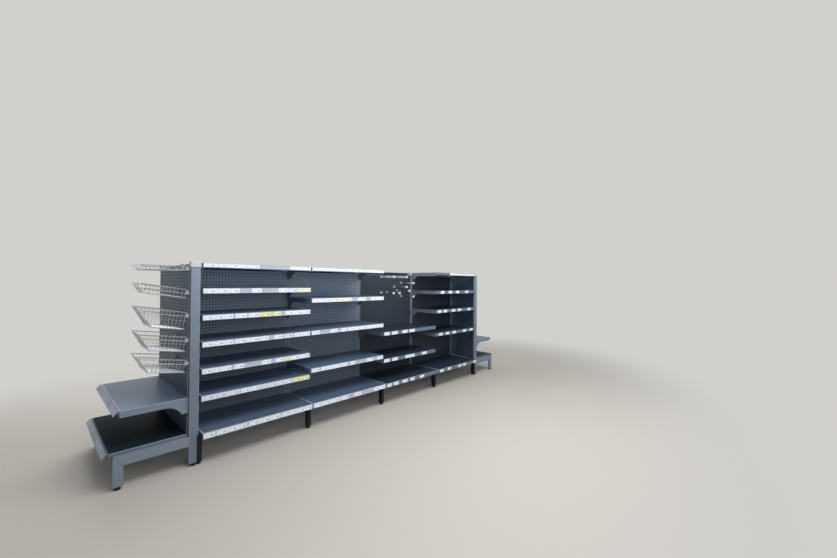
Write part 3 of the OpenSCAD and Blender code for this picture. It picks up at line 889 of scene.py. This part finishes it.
def add_cards(name, shape, colours, print_it, slot):
    """A piece of cards, with the two attributes that their print reads: each card's colour, and
    each corner's place on it, or 0 where nothing is printed."""
    piece = add_piece(name, shape, card_stock, slot)
    tint = piece.data.attributes.new("card_colour", "FLOAT_COLOR", "POINT")
    tint.data.foreach_set("color", np.repeat(colours, 8, axis=0).ravel())
    spot = piece.data.attributes.new("card_place", "FLOAT_VECTOR", "POINT")
    spot.data.foreach_set("vector", np.tile(corner_places * print_it, (len(colours), 1)).ravel())


for side in sides:
    add_cards(f"{side}_tickets", *cards(side), True, "ticket_plastic")

# Long blank inserts of pale violet card lie in the leaning strips. Each is a start and an end in
# millimetres from the strip's left side.
insert_colour = linear("9ba8cb")
insert_runs = {"lower": [(6, 170), (186, 330), (520, 760)], "upper": [(300, 560), (640, 880)]}
inserts = []
for runs, out, top in ((insert_runs["lower"], end_base_deep, base_top),
                       (insert_runs["upper"], end_shelf_deep, end_shelf_top)):
    across = np.array(runs) / 1000 - base_wide / 2
    shape = flat_boxes([(left, -strip_back - card_thick, strip_lip - strip_tall) for left, _ in across],
                       [(right, -strip_back, -strip_lip) for _, right in across])
    inserts.append(repeated(leaned(shape, end_strip_lean), (0, -out - end_strip_gap, top)))
shape = together([on_end(together(inserts), end) for end in ends])
add_cards("end_inserts", shape, [insert_colour] * (len(shape[0]) // 8), False, "end_ticket_plastic")


# Post caps. Moulded white plastic caps with round edges, pushed over the posts' tops. The end
# units have a wider kind than the uprights of the run.
cap_round = 0.006
cap_low, cap_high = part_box("post_caps")
run_cap_over = 0.002
end_cap_over = cap_high.y - end_post_y - post_narrow / 2


def post_cap(over):
    """Cap of a post, wider than it by over: a rounded outline, carried up and in over the top."""
    turn = np.linspace(0, pi / 2, 6)
    half = np.array([post_narrow, post_wide]) / 2 + over
    core, outward = rounded_outline(-half, half, cap_round)
    rows = np.concatenate([[cap_low.z], cap_high.z - cap_round + cap_round * np.sin(turn)])
    offsets = cap_round * np.concatenate([[1], np.cos(turn)])
    return solid(stacked(core, outward, offsets, rows))


caps = [repeated(post_cap(run_cap_over), [(x, 0, 0) for x in upright_x])]
pair = repeated(post_cap(end_cap_over), [(side * end_post_y, half_post, 0) for side in (-1, 1)])
caps += [on_end(pair, end) for end in ends]

# ABS, moulded white: a fine matt grain, a little greyer with age in places.
abs_plastic, tree, shader = new_finish("moulded_white_abs", "bcc5d1", Roughness=0.45)
place, _, _ = drift(shader, "b4bdca", "c5cdd8", 14.0, 3.0)
grain = add_node(tree, "TexNoise", {"Vector": place, "Scale": 700.0})
bump = add_node(tree, "Bump", {"Strength": 0.1, "Distance": 0.0003, "Height": grain})
feed(shader, {"Normal": bump})
add_piece("moulded_post_caps", together(caps), abs_plastic, "cap_plastic", ["post_caps"])


# Peg hooks. Zinc-plated wire hooks pushed into the panel of the third bay. The lower wire bears
# the load, and its tip turns up. The upper wire carries a white ticket plate.
hook_spots = [(0.350, 1.425), (0.575, 1.425), (0.700, 1.350), (0.575, 1.300),
              (0.350, 1.225), (0.450, 1.225), (0.625, 1.250), (0.700, 1.175)]
hook_reach = 0.230
hook_plate_size = (0.040, 0.003, 0.026)
hook_plate_round = 0.003
wire_half_gap = 0.0065
lower_wire = 0.0055
upper_wire = 0.0040
hook_tip = 0.009
tip_back = 0.004
tip_bend = 0.006
ticket_plate_thick = 0.002


def bent(corners, radius):
    """Path through corners in a plane, each inner one rounded by a curve that starts and ends
    radius away from it and bends towards it."""
    corners = np.asarray(corners, float)
    path = [corners[:1]]
    t = np.linspace(0, 1, 5)[:, None]
    for before, corner, after in zip(corners[:-2], corners[1:-1], corners[2:]):
        start = corner + radius * (before - corner) / np.linalg.norm(before - corner)
        stop = corner + radius * (after - corner) / np.linalg.norm(after - corner)
        path.append((1 - t) ** 2 * start + 2 * t * (1 - t) * corner + t ** 2 * stop)
    path.append(corners[-1:])
    return np.concatenate(path)


def wire(path, thick, flat, ring_points=6):
    """Round wire along a path that lies in the plane square to flat: a ring of points at each
    path point, in the plane of flat and of the path's sideways direction there."""
    way = np.gradient(path, axis=0)
    way /= np.linalg.norm(way, axis=1, keepdims=True)
    flat = np.asarray(flat, float)
    across = np.cross(way, flat)
    angle = (np.arange(ring_points) + 0.5) * 2 * pi / ring_points
    ring = np.cos(angle)[None, :, None] * across[:, None] + np.sin(angle)[None, :, None] * flat
    return solid(path[:, None] + ring * thick / 2)


def round_plate(low, high, radius, thick):
    """Flat plate with round corners, from its low to its high corner, and thick upwards."""
    core, outward = rounded_outline(low, high, radius)
    return solid(stacked(core, outward, [radius] * 2, [0, thick]))


half_plate = np.array([hook_plate_size[0], hook_plate_size[2]]) / 2
flat_plate = round_plate(-half_plate, half_plate, hook_plate_round, 1)
# Stood up: the outline's second way becomes Z, and its thickness of 1 m, scaled below, runs to -Y.
upright_plate = (flat_plate[0][:, [0, 2, 1]] * (1, -1, 1), flat_plate[1])
back_plate = (upright_plate[0] * (1, hook_plate_size[1], 1), upright_plate[1])
tip_y = tip_back - hook_reach
lower_path = bent([(0, 0, -wire_half_gap), (0, tip_y, -wire_half_gap),
                   (0, tip_y, hook_tip - wire_half_gap)], tip_bend)
upper_path = np.array([(0, 0, wire_half_gap), (0, -hook_reach / 2, wire_half_gap),
                       (0, -hook_reach, wire_half_gap)])
hook = together([back_plate, wire(lower_path, lower_wire, (1, 0, 0), 10),
                 wire(upper_path, upper_wire, (1, 0, 0), 10)])
ticket_plate = (upright_plate[0] * (1, ticket_plate_thick, 1) + (0, -hook_reach, 0), upright_plate[1])
spots = [(upright_x[2] + x, -half_post, z) for x, z in hook_spots]
add_piece("zinc_peg_hooks", repeated(hook, spots), zinc, "zinc_wire", ["peg_hooks"])
add_piece("hook_ticket_plates", repeated(ticket_plate, spots), abs_plastic, "cap_plastic")


# Wire baskets. Zinc-plated round wire, welded where it crosses: long wires bend up at the ends,
# cross wires bend up at the front, and a double rail of thicker wire makes the rim. A small plate
# at one end hooks into the post's slots, and one at the other end bears on the panel.
basket_levels = [(1.429, 0.035, 0), (1.222, 0.068, 9.5), (0.992, 0.130, 9.5), (0.832, 0.110, 9.5),
                 (0.680, 0.095, 9.5)]
basket_end = 0.440
basket_wide = 0.300
basket_deep = 0.300
front_slope = 36
basket_gap = 0.002
rim_wire = 0.0064
rail_drop = 0.0295
mesh_wire = 0.0026
mesh_pitch = 0.024
long_wires = 12
basket_bend = 0.009
plate_deep = 0.022
plate_thick = 0.002
plate_tall = 0.025
plate_drop = 0.010
plate_round = 0.003
rim_bend = 0.012
first_wire_in = 0.012
banded_from = 0.090


def wire_basket(tall):
    """Basket with its floor at Z = 0 and its back at Y = 0, facing -Y. Its front slopes outwards,
    so that at height Z it is at Y = foot - Z tan(slope). The two rails of the rim are one wire,
    which turns down in a half circle at each back end."""
    r = rim_wire / 2
    m = mesh_wire / 2
    steep = tan(radians(front_slope))
    foot = 2 * r - basket_deep + tall * steep
    back, low, high = -basket_gap - r, r, tall - r
    left, right = r - basket_wide / 2, basket_wide / 2 - r
    second = high - rail_drop if tall > 2 * rail_drop else low
    loop = (high - second) / 2
    parts = []
    for z in np.unique([low, second, high]):
        end = back if z < second else back - loop
        front = foot - z * steep
        rim = bent([(left, end, z), (left, front, z), (right, front, z), (right, end, z)], rim_bend)
        parts.append(wire(rim, rim_wire, (0, 0, 1), 8))
    turn = np.linspace(-pi / 2, pi / 2, 9)
    half_circle = np.stack([turn * 0, back - loop + loop * np.cos(turn),
                            second + loop + loop * np.sin(turn)], axis=-1)
    parts.append(repeated(wire(half_circle, rim_wire, (1, 0, 0), 8), [(left, 0, 0), (right, 0, 0)]))
    back_rail = np.array([(left, back, low), (0, back, low), (right, back, low)])
    parts.append(wire(back_rail, rim_wire, (0, 0, 1), 8))
    count = int((right - left) / mesh_pitch)
    cross = bent([(0, back, low + r), (0, foot, low + r), (0, foot - high * steep, high)], basket_bend)
    spread = np.linspace(left + mesh_pitch / 2, right - mesh_pitch / 2, count)
    parts.append(repeated(wire(cross, mesh_wire, (1, 0, 0)), [(x, 0, 0) for x in spread]))
    for y in np.linspace(back - first_wire_in, foot - high * steep + first_wire_in, long_wires):
        z = max(low, (foot - y) / steep)
        along = bent([(left + m, y, high), (left + m, y, z), (right - m, y, z), (right - m, y, high)],
                     min(basket_bend, (high - z) / 2.1))
        parts.append(wire(along, mesh_wire, (0, 1, 0)))
    if tall > banded_from:
        halfway = foot - tall / 2 * steep
        band = bent([(left + m, back, tall / 2), (left + m, halfway, tall / 2),
                     (right - m, halfway, tall / 2), (right - m, back, tall / 2)], basket_bend)
        parts.append(wire(band, mesh_wire, (0, 0, 1)))
    return together(parts)


def hook_plate(tall, left, back):
    """An upright plate, welded to a basket's end at X = left, that reaches to Y = back."""
    high = tall - plate_drop
    plate = round_plate((-plate_deep, high - plate_tall), (back, high), plate_round, plate_thick)
    return repeated((plate[0][:, [2, 0, 1]], plate[1]), (left, 0, 0))


for end in ends:
    baskets = []
    for floor_z, tall, lean in basket_levels:
        tilted = leaned(repeated(wire_basket(tall), (0, -tall * tan(radians(lean)), 0)), lean)
        basket = together([tilted, hook_plate(tall, basket_wide / 2 - plate_thick, panel_proud),
                           hook_plate(tall, -basket_wide / 2, 0)])
        baskets.append(repeated(basket, (basket_end - basket_wide / 2, -panel_proud, floor_z)))
    add_piece(f"{end}_end_wire_baskets", on_end(together(baskets), end), zinc, "zinc_wire",
              ["basket_floors", "basket_fronts", "basket_ends"])
